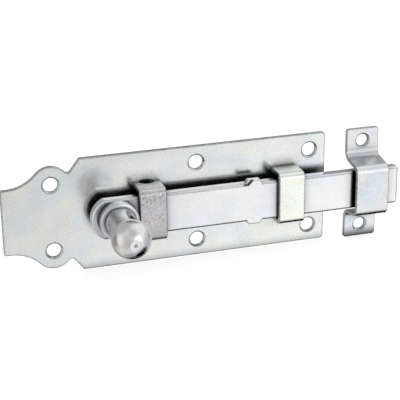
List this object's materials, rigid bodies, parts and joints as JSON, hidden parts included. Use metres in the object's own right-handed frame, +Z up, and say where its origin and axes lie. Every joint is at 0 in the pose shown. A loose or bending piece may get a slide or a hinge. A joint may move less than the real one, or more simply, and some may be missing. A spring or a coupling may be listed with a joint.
{
  "type": "padbolt",
  "caption": "Surface padbolt: ornamental screw plate, folded guide straps, sliding flat bar with a turned ball knob, and a separate hat-shaped keeper.",
  "frame": {"origin": "middle of the plate's length and height, on the plate's flat back", "axes": "+X is the way the bolt is thrown, towards the keeper; +Z is up; the front with the knob faces -Y"},
  "size_m": [0.154, 0.0364, 0.0452],
  "materials": {
    "plate_zinc": "bright zinc plating on rolled sheet, faint clouding",
    "strap_zinc": "bright zinc plating on folded sheet",
    "bar_zinc": "bright zinc plating on drawn flat bar, fine lengthwise lines",
    "knob_zinc": "polished turned steel under bright zinc",
    "keeper_zinc": "bright zinc plating on folded sheet"
  },
  "bodies": {
    "plate": {"base_plate": "plate_zinc", "rear_strap": "strap_zinc", "front_strap": "strap_zinc", "keeper": "keeper_zinc"},
    "bolt": {"bolt_bar": "bar_zinc", "knob": "knob_zinc"}
  },
  "joints": [
    {"name": "bolt_slide", "type": "slide", "parent": "plate", "child": "bolt", "axis": [1, 0, 0], "range_m": [-0.0315, 0]}
  ]
}
